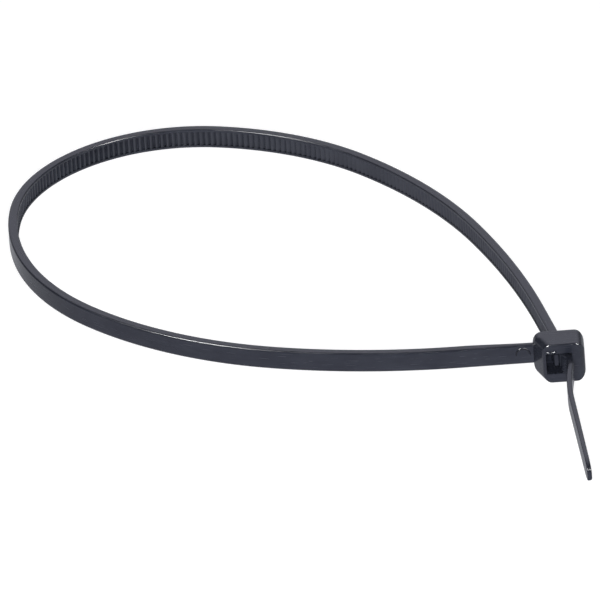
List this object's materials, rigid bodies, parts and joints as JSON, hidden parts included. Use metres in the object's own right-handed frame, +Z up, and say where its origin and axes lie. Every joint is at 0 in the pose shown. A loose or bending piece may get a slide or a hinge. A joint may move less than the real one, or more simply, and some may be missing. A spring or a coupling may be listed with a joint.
{
  "type": "cable tie",
  "caption": "Narrow nylon cable tie: a toothed strap closed through the slot of its locking head into a loose drop-shaped loop, with a short free tail.",
  "frame": {"origin": "on the flat lower side of the head, under the middle of its slot", "axes": "+X from the loop past the end of the head, -Y the way the tail leaves the slot, +Z up, along the width of the strap"},
  "size_m": [0.0713, 0.099, 0.0054],
  "materials": {
    "nylon": "satin moulded nylon, nearly black"
  },
  "bodies": {
    "root": {"cable_tie": "nylon"}
  },
  "joints": []
}
